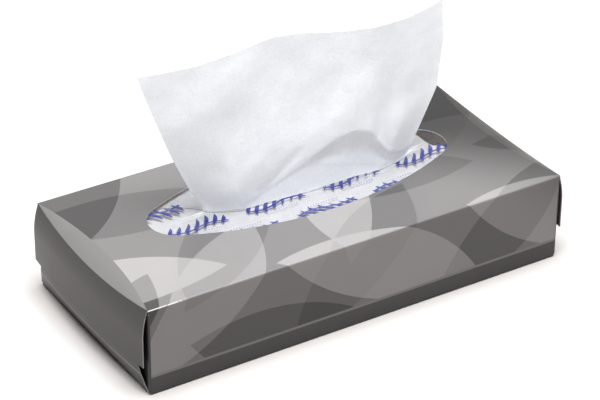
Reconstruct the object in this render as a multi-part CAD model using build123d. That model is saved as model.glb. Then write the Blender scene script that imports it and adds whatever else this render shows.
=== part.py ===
from build123d import *
import os
from math import asin, cos, degrees, radians, sin

os.makedirs("parts", exist_ok=True)

# Flat tissue box with one tissue standing up out of its slit.
# Millimetres, +Z up, X along the box, -Y its front. The origin is on the surface that
# the box stands on, under its middle.

# ---- Carton: one sheet of folding board -------------------------------------------------
BOX_LENGTH = 236.0             # between the two end creases of the bottom panel
BOX_WIDTH = 112.0              # outside, front panel to back panel
BOX_HEIGHT = 47.5              # outside, bottom panel to top panel
BOARD = 0.5                    # thickness of the board
FOLD_RADIUS = 0.9              # outside radius of the four long folds
SEAM_TAB_WIDTH = 12.0          # glued tab inside the back panel
SEAM_TAB_END_GAP = 6.0         # from each end of the tab to the end crease

# ---- Opening torn out of the top panel: a long oval -------------------------------------
OPENING_MARGIN_LEFT = 36.5     # from the left end crease to the oval
OPENING_MARGIN_RIGHT = 28.5
OPENING_MARGIN_FRONT = 32.8
OPENING_MARGIN_BACK = 17.8
OPENING_END_RADIUS = 15.0

# ---- Ends: two dust flaps, a bottom flap, and an outer flap over them -------------------
CREASE_SAGITTA = 7.1           # how far the curved top crease comes in at its middle
FACET_SLOPE = 22.0             # degrees that the narrow facet outside that crease falls
OUTER_FLAP_STAND = 2.9         # how far the outer flap's side edges stand past the end crease
OUTER_FLAP_CURVE = 16.0        # height over which the flap curves out from the top
OUTER_FLAP_BOW = 2.0           # how much further the flap's middle stands out
OUTER_FLAP_LOW_EDGE = 16.0     # height of its lower edge over the bottom panel
OUTER_FLAP_SIDE_INSET = 0.8    # from the front and back panels to its side edges
BOTTOM_FLAP_LAP = 10.0         # height that is glued behind the outer flap
BOTTOM_FLAP_FOOT_INSET = 1.0   # side inset at the bottom crease
BOTTOM_FLAP_TOP_INSET = 6.0    # side inset at the outer flap's lower edge
DUST_FLAP_LENGTH = 45.0        # from its fold to its free edge
DUST_FLAP_FOLD_GAP = 1.0       # above and below the flap at its fold
DUST_FLAP_TAPER = 4.0          # extra gap above and below at its free edge

# ---- Film under the opening, with the slit that the tissues come through ----------------
FILM = 0.2                     # thickness of the film's solid
FILM_LAP = 9.0                 # glued lap round the opening
SLIT_END_MARGIN = 12.0         # from each end of the opening to the slit
SLIT_SIDE_CLEARANCE = 0.5      # between a slit edge and the tissue

# ---- Tissues -----------------------------------------------------------------------------
STACK_LEFT_CLEARANCE = 1.5     # from the left dust flaps, which the stack is pushed up to
STACK_RIGHT_CLEARANCE = 28.0   # from the right dust flaps
STACK_SIDE_CLEARANCE = 1.75    # from the front and back panels
STACK_HEADROOM = 3.0           # from the top panel
STACK_CORNER_RADIUS = 2.0
TISSUE_THICKNESS = 3.0         # space that the standing tissue's soft folds fill
TISSUE_LAYERS = 1.0            # space that its folded half fills on the stack
NECK_END_CLEARANCE = 18.5      # from each end of the slit to the gathered tissue
TISSUE_RISE_LEFT = 84.0        # its top corners, over the top panel
TISSUE_RISE_RIGHT = 77.0
TISSUE_REACH_LEFT = 92.0       # its top corners, along X from the opening's middle
TISSUE_REACH_RIGHT = 84.0

# ---- Places that follow from those sizes -------------------------------------------------
HALF_LENGTH = BOX_LENGTH / 2
HALF_WIDTH = BOX_WIDTH / 2
OPENING_LENGTH = BOX_LENGTH - OPENING_MARGIN_LEFT - OPENING_MARGIN_RIGHT
OPENING_WIDTH = BOX_WIDTH - OPENING_MARGIN_FRONT - OPENING_MARGIN_BACK
OPENING_X = (OPENING_MARGIN_LEFT - OPENING_MARGIN_RIGHT) / 2
OPENING_Y = (OPENING_MARGIN_FRONT - OPENING_MARGIN_BACK) / 2
SLIT_LENGTH = OPENING_LENGTH - 2 * SLIT_END_MARGIN
NECK_LENGTH = SLIT_LENGTH - 2 * NECK_END_CLEARANCE
DUST_FLAP_INSIDE = HALF_LENGTH - 2 * BOARD
STACK_LEFT = -DUST_FLAP_INSIDE + STACK_LEFT_CLEARANCE
STACK_RIGHT = DUST_FLAP_INSIDE - STACK_RIGHT_CLEARANCE
STACK_BACK = HALF_WIDTH - BOARD - STACK_SIDE_CLEARANCE
STACK_TOP = BOX_HEIGHT - BOARD - STACK_HEADROOM
PAST = 5.0                     # how far a cutting tool runs past what it cuts


def arc_radius(half_chord, sagitta):
    """Radius of the arc that rises by sagitta over a chord of twice half_chord."""
    return (half_chord ** 2 + sagitta ** 2) / (2 * sagitta)


def block(x_range, y_range, z_range):
    """Rectangular solid between the given limits."""
    size = [high - low for low, high in (x_range, y_range, z_range)]
    corner = (x_range[0], y_range[0], z_range[0])
    return Pos(*corner) * Box(*size, align=(Align.MIN, Align.MIN, Align.MIN))


def both_ends(end_piece):
    """The right end's piece, with its mirror image at the left end."""
    return [end_piece, mirror(end_piece, about=Plane.YZ)]


# The outer flap turns about an upright line far inside the box, which bows it in plan. A
# distance from that line is BOW_RADIUS on the chord between the box's two corners.
BOW_RADIUS = arc_radius(HALF_WIDTH, OUTER_FLAP_BOW)
BOW_CENTRE_X = HALF_LENGTH + OUTER_FLAP_BOW - BOW_RADIUS
BOW_HALF_ANGLE = degrees(asin((HALF_WIDTH + PAST) / BOW_RADIUS))
FLAP_ARC = arc_radius(OUTER_FLAP_CURVE, OUTER_FLAP_STAND)
FLAP_OUTSIDE = BOW_RADIUS + OUTER_FLAP_STAND
FLAP_ARC_END = BOX_HEIGHT - OUTER_FLAP_CURVE
FLAP_INSIDE = FLAP_OUTSIDE - BOARD


def turn_about_bow(profile):
    """Turn an upright profile, drawn as (distance from the bow's axis, height)."""
    axis = Axis((BOW_CENTRE_X, 0, 0), (0, 0, 1))
    upright = Plane((BOW_CENTRE_X, 0, 0), x_dir=(1, 0, 0), z_dir=(0, -1, 0))
    start = (upright * profile).rotate(axis, -BOW_HALF_ANGLE)
    return revolve(start, axis=axis, revolution_arc=2 * BOW_HALF_ANGLE)


def span(rho_range, z_range):
    """Rectangle in the upright profile plane."""
    width = rho_range[1] - rho_range[0]
    height = z_range[1] - z_range[0]
    return Pos(rho_range[0], z_range[0]) * Rectangle(width, height, align=(Align.MIN, Align.MIN))


def make_sleeve():
    """Top, front, bottom and back panels, closed round the four long folds."""
    section = RectangleRounded(BOX_WIDTH, BOX_HEIGHT, FOLD_RADIUS)
    section -= RectangleRounded(BOX_WIDTH - 2 * BOARD, BOX_HEIGHT - 2 * BOARD, FOLD_RADIUS - BOARD)
    end_plane = Plane((-HALF_LENGTH, 0, BOX_HEIGHT / 2), x_dir=(0, 1, 0), z_dir=(1, 0, 0))
    sleeve = extrude(end_plane * section, amount=BOX_LENGTH)
    # The front and back panels stop one board short of the top and bottom panels.
    wall_end = block(
        (HALF_LENGTH - BOARD, HALF_LENGTH + PAST),
        (-HALF_WIDTH - PAST, HALF_WIDTH + PAST),
        (FOLD_RADIUS, BOX_HEIGHT - FOLD_RADIUS),
    )
    for cut in both_ends(wall_end):
        sleeve -= cut
    return sleeve


def make_opening(depth_range):
    """Oval prism: two long side arcs, joined by round ends that they run into smoothly."""
    half_length = OPENING_LENGTH / 2
    half_width = OPENING_WIDTH / 2
    end_centre = half_length - OPENING_END_RADIUS
    side_radius = (half_width ** 2 + end_centre ** 2 - OPENING_END_RADIUS ** 2) / (
        2 * (half_width - OPENING_END_RADIUS)
    )
    # The arcs touch on the line from a side arc's centre through the end circle's centre.
    side_drop = side_radius - half_width
    reach = OPENING_END_RADIUS / (side_radius - OPENING_END_RADIUS)
    touch_x = end_centre * (1 + reach)
    touch_y = side_drop * reach
    outline = ThreePointArc((-touch_x, touch_y), (0, half_width), (touch_x, touch_y))
    outline += ThreePointArc((touch_x, touch_y), (half_length, 0), (touch_x, -touch_y))
    outline += ThreePointArc((touch_x, -touch_y), (0, -half_width), (-touch_x, -touch_y))
    outline += ThreePointArc((-touch_x, -touch_y), (-half_length, 0), (-touch_x, touch_y))
    face = Pos(OPENING_X, OPENING_Y, depth_range[0]) * make_face(outline)
    return extrude(face, amount=depth_range[1] - depth_range[0])


CREASE_RADIUS = arc_radius(HALF_WIDTH, CREASE_SAGITTA)
CREASE_CENTRE_X = HALF_LENGTH - CREASE_SAGITTA + CREASE_RADIUS


def sloped(face):
    """Sweep a face of the top plane outward and down along the facet."""
    length = 2 * (CREASE_SAGITTA + OUTER_FLAP_STAND + OUTER_FLAP_BOW)
    slope = radians(FACET_SLOPE)
    return extrude(face, amount=length, dir=(cos(slope), 0, -sin(slope)))


def make_over_facet():
    """Everything above the facet and outside the curved top crease."""
    disc = Pos(CREASE_CENTRE_X, 0, BOX_HEIGHT) * Circle(CREASE_RADIUS)
    near = Pos(HALF_LENGTH, 0, BOX_HEIGHT) * Rectangle(4 * PAST, BOX_WIDTH + 2 * PAST)
    return sloped(disc & near)


def make_facet():
    """Narrow facet between the two curved creases of one end."""
    ring = Circle(CREASE_RADIUS + BOARD / sin(radians(FACET_SLOPE))) - Circle(CREASE_RADIUS)
    near = Pos(HALF_LENGTH, 0, BOX_HEIGHT) * Rectangle(4 * PAST, BOX_WIDTH - BOARD)
    band = sloped((Pos(CREASE_CENTRE_X, 0, BOX_HEIGHT) * ring) & near)
    arc_disc = Pos(FLAP_OUTSIDE - FLAP_ARC, FLAP_ARC_END) * Circle(FLAP_ARC)
    window = span((BOW_RADIUS - 4 * PAST, FLAP_OUTSIDE), (FLAP_ARC_END, BOX_HEIGHT))
    return band & turn_about_bow(arc_disc & window)


def make_outer_flap():
    """Outer flap: curves out from the top, then hangs straight to its free lower edge."""
    ring = Circle(FLAP_ARC) - Circle(FLAP_ARC - BOARD)
    window = span((BOW_RADIUS - PAST, FLAP_OUTSIDE), (FLAP_ARC_END, BOX_HEIGHT))
    curved = (Pos(FLAP_OUTSIDE - FLAP_ARC, FLAP_ARC_END) * ring) & window
    straight = span((FLAP_INSIDE, FLAP_OUTSIDE), (OUTER_FLAP_LOW_EDGE, FLAP_ARC_END))
    side = HALF_WIDTH - OUTER_FLAP_SIDE_INSET
    trim = block((0, BOX_LENGTH), (-side, side), (0, BOX_HEIGHT))
    return turn_about_bow(curved + straight) & trim


def make_bottom_flap():
    """Bottom flap: leans out from its straight crease to its glued lap behind the outer flap."""
    lap_foot = OUTER_FLAP_LOW_EDGE
    lap_top = lap_foot + BOTTOM_FLAP_LAP
    lap = turn_about_bow(span((FLAP_INSIDE - BOARD, FLAP_INSIDE), (lap_foot, lap_top)))
    side = HALF_WIDTH - BOTTOM_FLAP_FOOT_INSET
    lap &= block((0, BOX_LENGTH), (-side, side), (0, BOX_HEIGHT))
    lap_foot_face = lap.faces().sort_by(Axis.Z)[0]
    crease_face = Pos(HALF_LENGTH - BOARD / 2, 0, 0) * Rectangle(BOARD, 2 * side)
    lean = loft([crease_face.face(), lap_foot_face], ruled=True)
    edge = Polyline(
        (-HALF_WIDTH + BOTTOM_FLAP_FOOT_INSET, 0),
        (HALF_WIDTH - BOTTOM_FLAP_FOOT_INSET, 0),
        (HALF_WIDTH - BOTTOM_FLAP_TOP_INSET, lap_foot),
        (HALF_WIDTH - BOTTOM_FLAP_TOP_INSET, lap_top),
        (-HALF_WIDTH + BOTTOM_FLAP_TOP_INSET, lap_top),
        (-HALF_WIDTH + BOTTOM_FLAP_TOP_INSET, lap_foot),
        close=True,
    )
    outline = Plane((0, 0, 0), x_dir=(0, 1, 0), z_dir=(1, 0, 0)) * make_face(edge)
    return (lean + lap) & extrude(outline, amount=BOX_LENGTH)


def make_dust_flap(side):
    """Dust flap at the right end, folded in from the front (-1) or the back (+1) panel."""
    fold = side * HALF_WIDTH
    free = side * (HALF_WIDTH - DUST_FLAP_LENGTH)
    tip_gap = DUST_FLAP_FOLD_GAP + DUST_FLAP_TAPER
    edge = Polyline(
        (fold, DUST_FLAP_FOLD_GAP),
        (free, tip_gap),
        (free, BOX_HEIGHT - tip_gap),
        (fold, BOX_HEIGHT - DUST_FLAP_FOLD_GAP),
        close=True,
    )
    plane = Plane((DUST_FLAP_INSIDE, 0, 0), x_dir=(0, 1, 0), z_dir=(1, 0, 0))
    return extrude(plane * make_face(edge), amount=BOARD)


def make_seam_tab():
    """Tab along the bottom panel's free edge, glued inside the back panel."""
    reach = HALF_LENGTH - SEAM_TAB_END_GAP
    inside = HALF_WIDTH - BOARD
    return block((-reach, reach), (inside - BOARD, inside), (BOARD, BOARD + SEAM_TAB_WIDTH))


def make_carton():
    """The whole folded and glued carton."""
    carton = make_sleeve()
    over_facet = make_over_facet()
    for cut in both_ends(over_facet):
        carton -= cut
    end_pieces = [
        make_facet(),
        make_outer_flap() - over_facet,
        make_bottom_flap(),
        make_dust_flap(-1),
        make_dust_flap(1),
    ]
    for end_piece in end_pieces:
        for piece in both_ends(end_piece):
            carton += piece
    carton += make_seam_tab()
    return carton - make_opening((BOX_HEIGHT - 2 * BOARD, BOX_HEIGHT + PAST))


def make_film():
    """Film glued under the top panel, with a slit along the opening's middle."""
    length = OPENING_LENGTH + 2 * FILM_LAP
    width = OPENING_WIDTH + 2 * FILM_LAP
    slit_width = TISSUE_THICKNESS + 2 * SLIT_SIDE_CLEARANCE
    sheet = Rectangle(length, width) - SlotOverall(SLIT_LENGTH, slit_width)
    top_of_film = BOX_HEIGHT - BOARD
    return extrude(Pos(OPENING_X, OPENING_Y, top_of_film - FILM) * sheet, amount=FILM)


def make_stack():
    """Interfolded tissues as one soft block on the bottom panel."""
    stack = block((STACK_LEFT, STACK_RIGHT), (-STACK_BACK, STACK_BACK), (BOARD, STACK_TOP))
    return fillet(stack.edges().filter_by(Axis.Z), STACK_CORNER_RADIUS)


def make_pulled_tissue():
    """Top tissue: its folded half lies on the stack, and the rest stands up through the slit."""
    folded = block(
        (STACK_LEFT + STACK_CORNER_RADIUS, STACK_RIGHT - STACK_CORNER_RADIUS),
        (OPENING_Y - TISSUE_THICKNESS / 2, STACK_BACK - STACK_CORNER_RADIUS),
        (STACK_TOP, STACK_TOP + TISSUE_LAYERS),
    )
    edge = Polyline(
        (-NECK_LENGTH / 2, STACK_TOP),
        (NECK_LENGTH / 2, STACK_TOP),
        (NECK_LENGTH / 2, BOX_HEIGHT),
        (TISSUE_REACH_RIGHT, BOX_HEIGHT + TISSUE_RISE_RIGHT),
        (-TISSUE_REACH_LEFT, BOX_HEIGHT + TISSUE_RISE_LEFT),
        (-NECK_LENGTH / 2, BOX_HEIGHT),
        close=True,
    )
    back_face_y = OPENING_Y + TISSUE_THICKNESS / 2
    upright = Plane((OPENING_X, back_face_y, 0), x_dir=(1, 0, 0), z_dir=(0, -1, 0))
    return folded + extrude(upright * make_face(edge), amount=TISSUE_THICKNESS)


export_step(make_carton(), "parts/carton.step")
export_step(make_film(), "parts/film_window.step")
export_step(make_stack(), "parts/tissue_stack.step")
export_step(make_pulled_tissue(), "parts/pulled_tissue.step")
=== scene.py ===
"""A flat carton of tissues: printed folding board, a thin film under its oval opening, the stack
of folded tissues inside, and one tissue pulled up through the slit in the film.

Lengths are in millimetres, with X along the box, Y from front to back and Z up, and they become
metres when a mesh is made. Each mesh has a UV map that holds every point's place on the flat
sheet that the piece is made from, and the prints and papers are drawn on it.
"""
import logging
from collections.abc import Callable
from dataclasses import dataclass
from enum import Enum
from functools import reduce
from math import atan2, cos, hypot, pi, radians, sin, sqrt

import bmesh
import bpy
import numpy as np
from mathutils import Matrix, Vector


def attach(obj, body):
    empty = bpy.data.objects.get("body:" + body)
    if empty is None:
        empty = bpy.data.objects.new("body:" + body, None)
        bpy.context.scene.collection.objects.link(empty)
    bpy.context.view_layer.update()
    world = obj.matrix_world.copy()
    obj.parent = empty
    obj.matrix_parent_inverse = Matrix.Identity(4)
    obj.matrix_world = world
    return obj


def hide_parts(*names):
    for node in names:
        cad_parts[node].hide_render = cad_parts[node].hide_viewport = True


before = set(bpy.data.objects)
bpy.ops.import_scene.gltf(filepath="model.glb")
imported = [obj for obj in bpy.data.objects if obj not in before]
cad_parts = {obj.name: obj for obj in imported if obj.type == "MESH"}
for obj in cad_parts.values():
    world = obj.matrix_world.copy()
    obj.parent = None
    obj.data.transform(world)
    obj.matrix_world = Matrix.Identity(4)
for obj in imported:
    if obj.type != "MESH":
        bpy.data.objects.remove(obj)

LOG = logging.getLogger("tissue_box")
MILLIMETRE = 0.001
FLAT_MAP = "flat"
RIPPLE_WAVES = 14
PRINTED_EDGE = 0.12
MIDDLE_OF_BOX = Vector((0.0, 0.0, 0.02))
Colour = tuple[float, float, float]
Point = tuple[float, float]
Span = tuple[float, float]


def operator(operation: str, reflected: bool = False) -> Callable[["Number", object], "Number"]:
    """A method of Number that adds one Math node.

    Args:
        operation: the node's operation.
        reflected: whether the other operand comes first.

    Returns:
        The method.
    """

    def method(self: "Number", other: object) -> "Number":
        """The operation on self and other."""
        return self.result(operation, *((other, self) if reflected else (self, other)))

    return method


class Number:
    """A number in a node tree. Arithmetic on it adds Math nodes to the tree."""

    def __init__(self, bench: "Bench", socket: bpy.types.NodeSocket) -> None:
        """Wrap the output socket of a node on the bench."""
        self.bench = bench
        self.socket = socket

    def result(self, operation: str, *operands: object) -> "Number":
        """Add the Math node for one operation on the operands, in their order."""
        settings = {"operation": operation}
        return self.bench.number("ShaderNodeMath", settings, dict(enumerate(operands)), 0)

    __add__ = operator("ADD")
    __radd__ = operator("ADD", reflected=True)
    __sub__ = operator("SUBTRACT")
    __rsub__ = operator("SUBTRACT", reflected=True)
    __mul__ = operator("MULTIPLY")
    __rmul__ = operator("MULTIPLY", reflected=True)
    least = operator("MINIMUM")
    most = operator("MAXIMUM")

    def __abs__(self) -> "Number":
        """The size of self."""
        return self.result("ABSOLUTE", self)

    def wrap(self, pitch: float) -> "Number":
        """self brought into the range from -pitch/2 to pitch/2, for a repeat."""
        return self.result("WRAP", self, pitch / 2, -pitch / 2)

    def wave(self) -> "Number":
        """The sine of self, in radians."""
        return self.result("SINE", self)

    def step(self, low: float, high: float) -> "Number":
        """A smooth step of self: 0 at low and 1 at high, which may be the smaller one.

        Args:
            low: where the step is 0.
            high: where the step is 1.

        Returns:
            The step, from 0 to 1.
        """
        settings = {"interpolation_type": "SMOOTHSTEP"}
        values = {"Value": self, "From Min": min(low, high), "From Max": max(low, high)}
        rising = self.bench.number("ShaderNodeMapRange", settings, values, "Result")
        return rising if high > low else 1 - rising

    def under(self, edge: float, soft: float) -> "Number":
        """1 where self is under an edge and 0 where it is over, changing over soft each way."""
        return self.step(edge + soft, edge - soft)


@dataclass(frozen=True)
class Grain:
    """A fine unevenness of a finish.

    Args:
        scale: how many cells it has to a unit of the place.
        detail: how many finer layers are added.
        roughness: how strong each finer layer is.
        stretch: what each axis of the place is multiplied by first, for long or short grain.
    """

    scale: float
    detail: float = 2.0
    roughness: float = 0.5
    stretch: Colour | None = None


class Bench:
    """The node tree of one finish, with the one method that adds nodes to it."""

    def __init__(self, name: str) -> None:
        """Start an empty material of that name."""
        self.material = bpy.data.materials.new(name)
        self.material.use_nodes = True
        self.tree = self.material.node_tree
        self.tree.nodes.clear()

    def add(
        self, kind: str, settings: dict[str, object] | None = None,
        values: dict[object, object] | None = None,
    ) -> bpy.types.Node:
        """Add one node.

        Args:
            kind: the node's type.
            settings: the node's own properties, set first.
            values: for each input, by its name or place, a number, a colour or a link.

        Returns:
            The node.
        """
        node = self.tree.nodes.new(kind)
        for key, value in (settings or {}).items():
            setattr(node, key, value)
        for key, value in (values or {}).items():
            if isinstance(value, Number):
                value = value.socket
            if isinstance(value, bpy.types.NodeSocket):
                self.tree.links.new(value, node.inputs[key])
            else:
                node.inputs[key].default_value = value
        return node

    def number(self, kind: str, settings: dict[str, object], values: dict[object, object],
               output: object) -> Number:
        """Add one node and wrap one of its outputs as a number."""
        return Number(self, self.add(kind, settings, values).outputs[output])

    def flat_place(self) -> bpy.types.NodeSocket:
        """The place on the piece's flat sheet, in millimetres."""
        flat = self.add("ShaderNodeUVMap", {"uv_map": FLAT_MAP}).outputs[0]
        return self.stretched(flat, (1 / MILLIMETRE,) * 3)

    def parts(self, place: bpy.types.NodeSocket) -> list[Number]:
        """The three parts of a place, as numbers."""
        apart = self.add("ShaderNodeSeparateXYZ", {}, {0: place})
        return [Number(self, part) for part in apart.outputs]

    def stretched(self, place: bpy.types.NodeSocket, scale: Colour) -> bpy.types.NodeSocket:
        """The place with each of its three axes scaled."""
        return self.add("ShaderNodeMapping", {}, {"Vector": place, "Scale": scale}).outputs[0]

    def noise(self, place: bpy.types.NodeSocket, grain: Grain) -> Number:
        """Noise from 0 to 1 at a place."""
        if grain.stretch is not None:
            place = self.stretched(place, grain.stretch)
        values = {"Vector": place, "Scale": grain.scale, "Detail": grain.detail,
                  "Roughness": grain.roughness}
        return self.number("ShaderNodeTexNoise", {"noise_dimensions": "3D"}, values, "Fac")

    def mix(self, factor: object, first: object, second: object) -> bpy.types.NodeSocket:
        """Mix two colours: the first where factor is 0, the second where it is 1."""
        values = {"Factor": factor, 6: first, 7: second}
        return self.add("ShaderNodeMix", {"data_type": "RGBA"}, values).outputs[2]

    def grey(self, tone: Number, tint: Colour) -> bpy.types.NodeSocket:
        """A tint whose three parts are each multiplied by a tone."""
        parts = self.add("ShaderNodeCombineXYZ", {}, {0: tone, 1: tone, 2: tone})
        node = self.add("ShaderNodeVectorMath", {"operation": "MULTIPLY"},
                        {0: parts.outputs[0], 1: tint})
        return node.outputs[0]

    def bump(self, height: Number, distance: float) -> bpy.types.NodeSocket:
        """A normal for a relief whose height from 0 to 1 is worth a distance in millimetres."""
        values = {"Height": height, "Distance": distance * MILLIMETRE, "Strength": 1.0}
        return self.add("ShaderNodeBump", {}, values).outputs["Normal"]

    def principled(self, values: dict[object, object]) -> bpy.types.Node:
        """Add the shader that most finishes end in."""
        return self.add("ShaderNodeBsdfPrincipled", {}, values)

    def surface(self, shader: bpy.types.Node) -> bpy.types.Material:
        """Close the tree with a shader and hand over the material."""
        self.add("ShaderNodeOutputMaterial", {}, {"Surface": shader.outputs[0]})
        return self.material


def rgba(colour: Colour) -> tuple[float, float, float, float]:
    """An opaque colour with its fourth part."""
    return (*colour, 1.0)


@dataclass(frozen=True)
class Patch:
    """Part of a surface: a grid of points, each with its place on the flat sheet.

    Args:
        points: rows by columns by 3, in millimetres.
        flat: rows by columns by 2, in millimetres.
    """

    points: np.ndarray
    flat: np.ndarray


def smooth(values: np.ndarray, low: float, high: float) -> np.ndarray:
    """A smooth step: 0 up to low, 1 from high on, and 3t^2 - 2t^3 between them."""
    t = np.clip((values - low) / (high - low), 0.0, 1.0)
    return t * t * (3.0 - 2.0 * t)


def dome(x: np.ndarray, half: float) -> np.ndarray:
    """1 - (x / half)^2, and 0 past half."""
    return np.clip(1.0 - (x / half) ** 2, 0.0, 1.0)


def quarter_turn(radius: float, count: int) -> tuple[np.ndarray, np.ndarray]:
    """A quarter circle: radius sin a and radius (1 - cos a), for a from 0 to a right angle."""
    turn = np.linspace(0.0, pi / 2, count)
    return radius * np.sin(turn), radius * (1 - np.cos(turn))


def ripple(x: np.ndarray, y: np.ndarray, seed: int, size: float) -> np.ndarray:
    """Soft unevenness: the sum of sine waves in random directions, over the root of their count.

    Args:
        x: places along the sheet, in millimetres.
        y: places across the sheet, in millimetres.
        seed: picks the waves.
        size: the mean wavelength, in millimetres.

    Returns:
        Heights of about -1 to 1.
    """
    rng = np.random.default_rng(seed)
    turn = rng.uniform(0.0, 2.0 * pi, RIPPLE_WAVES)
    length = size * rng.uniform(0.6, 1.7, RIPPLE_WAVES)
    start = rng.uniform(0.0, 2.0 * pi, RIPPLE_WAVES)
    along = x[..., None] * np.cos(turn) + y[..., None] * np.sin(turn)
    return np.sin(2.0 * pi * along / length + start).sum(axis=-1) / sqrt(RIPPLE_WAVES)


def grid(*parts: np.ndarray | float) -> np.ndarray:
    """Points put together from their coordinates, each widened to the others' shape."""
    return np.stack(np.broadcast_arrays(*parts), axis=-1)


def put_in_scene(name: str, data: bpy.types.ID) -> bpy.types.Object:
    """Make an object with that data and link it to the scene."""
    made = bpy.data.objects.new(name, data)
    bpy.context.scene.collection.objects.link(made)
    return made


class Winding(Enum):
    """Which way a surface's faces look."""

    UP = "its highest face looks up"
    AWAY = "its faces look away from the middle of the box"
    EVEN = "its faces all look to one side"


def make_piece(name: str, patches: list[Patch], finishes: list[bpy.types.Material],
               crease: float = 60.0, winding: Winding = Winding.UP) -> bpy.types.Object:
    """Join patches into one mesh, merging the points that they share.

    Args:
        name: the piece's name.
        patches: the grids that make up its surface.
        finishes: its materials; the faces take the first.
        crease: edges that turn by more than this, in degrees, stay sharp.
        winding: which way its faces look.

    Returns:
        The new object, at the origin.
    """
    points = np.concatenate([patch.points.reshape(-1, 3) for patch in patches])
    flat = np.concatenate([patch.flat.reshape(-1, 2) for patch in patches])
    quads = []
    start = 0
    for patch in patches:
        rows, columns = patch.points.shape[:2]
        index = start + np.arange(rows * columns).reshape(rows, columns)
        corners = (index[:-1, :-1], index[:-1, 1:], index[1:, 1:], index[1:, :-1])
        quads.append(np.stack(corners, axis=-1).reshape(-1, 4))
        start += rows * columns
    faces = np.concatenate(quads)
    mesh = bpy.data.meshes.new(name)
    mesh.from_pydata((points * MILLIMETRE).tolist(), [], faces.tolist())
    layer = mesh.uv_layers.new(name=FLAT_MAP)
    layer.data.foreach_set("uv", (flat[faces.reshape(-1)] * MILLIMETRE).reshape(-1))
    shape = bmesh.new()
    shape.from_mesh(mesh)
    bmesh.ops.remove_doubles(shape, verts=shape.verts, dist=2e-6)
    bmesh.ops.dissolve_degenerate(shape, edges=shape.edges, dist=1e-7)
    bmesh.ops.recalc_face_normals(shape, faces=shape.faces)
    top = max(shape.faces, key=lambda face: face.calc_center_median().z)
    if winding is Winding.UP and top.normal.z < 0:
        bmesh.ops.reverse_faces(shape, faces=shape.faces)
    shape.to_mesh(mesh)
    shape.free()
    mesh.shade_smooth()
    mesh.set_sharp_from_angle(angle=radians(crease))
    sharpen_border(mesh)
    if winding is Winding.AWAY:
        face_away(mesh)
    for finish in finishes:
        mesh.materials.append(finish)
    return put_in_scene(name, mesh)


def sharpen_border(mesh: bpy.types.Mesh) -> None:
    """Keep a sheet's open edges sharp, so that its cut edge isn't shaded round."""
    edge_of_corner = np.empty(len(mesh.loops), dtype=np.int64)
    mesh.loops.foreach_get("edge_index", edge_of_corner)
    sharp = np.empty(len(mesh.edges), dtype=bool)
    mesh.edges.foreach_get("use_edge_sharp", sharp)
    sharp |= np.bincount(edge_of_corner, minlength=len(sharp)) == 1
    mesh.edges.foreach_set("use_edge_sharp", sharp)


def face_away(mesh: bpy.types.Mesh) -> None:
    """Turn a sheet's faces so that they look away from the middle of the box."""
    outward = sum((face.center - MIDDLE_OF_BOX).dot(face.normal) * face.area
                  for face in mesh.polygons)
    if outward < 0:
        mesh.flip_normals()


def thicken(piece: bpy.types.Object, wall: float) -> None:
    """Give a sheet its thickness, inwards from its faces.

    The inner side takes the finish one slot on from a face's own, and the cut edges take the
    one after it.

    Args:
        piece: the sheet.
        wall: its thickness, in millimetres.
    """
    solidify = piece.modifiers.new("board", "SOLIDIFY")
    solidify.thickness = wall * MILLIMETRE
    solidify.offset = -1.0
    solidify.use_even_offset = True
    solidify.material_offset = 1
    solidify.material_offset_rim = 2


@dataclass(frozen=True)
class Disc:
    """A printed disc.

    Args:
        centre: its middle, on the flat blank.
        radius: its radius.
        shade: what it adds to the tone of the ink.
    """

    centre: Point
    radius: float
    shade: float = 0.0

    def mask(self, bench: Bench, place: bpy.types.NodeSocket) -> Number:
        """1 inside the disc and 0 outside it, with an edge as soft as a printed one."""
        values = {0: place, 1: (*self.centre, 0.0)}
        reach = bench.number("ShaderNodeVectorMath", {"operation": "DISTANCE"}, values, "Value")
        return reach.under(self.radius, PRINTED_EDGE)


@dataclass(frozen=True)
class Petal:
    """A printed petal: where two discs overlap that both pass through its two tips.

    Args:
        start: the first tip, on the flat blank.
        end: the second tip.
        left: how far its side to the left of start to end swells out.
        right: how far the other side swells out.
        shade: what it adds to the tone of the ink.
    """

    start: Point
    end: Point
    left: float
    right: float
    shade: float

    def discs(self) -> list[Disc]:
        """The discs behind its two sides.

        A side that swells out by s over a chord c has the radius (c^2 / 4 + s^2) / (2 s).

        Returns:
            The left side's disc, then the right side's.
        """
        along = (self.end[0] - self.start[0], self.end[1] - self.start[1])
        chord = hypot(*along)
        leftward = (-along[1] / chord, along[0] / chord)
        middle = ((self.start[0] + self.end[0]) / 2, (self.start[1] + self.end[1]) / 2)
        found = []
        for swell, side in ((self.left, 1), (self.right, -1)):
            radius = (chord * chord / 4 + swell * swell) / (2 * swell)
            reach = side * (swell - radius)
            centre = (middle[0] + leftward[0] * reach, middle[1] + leftward[1] * reach)
            found.append(Disc(centre, radius))
        return found

    def mask(self, bench: Bench, place: bpy.types.NodeSocket) -> Number:
        """1 inside the petal and 0 outside it."""
        left, right = (one.mask(bench, place) for one in self.discs())
        return left * right


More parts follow.
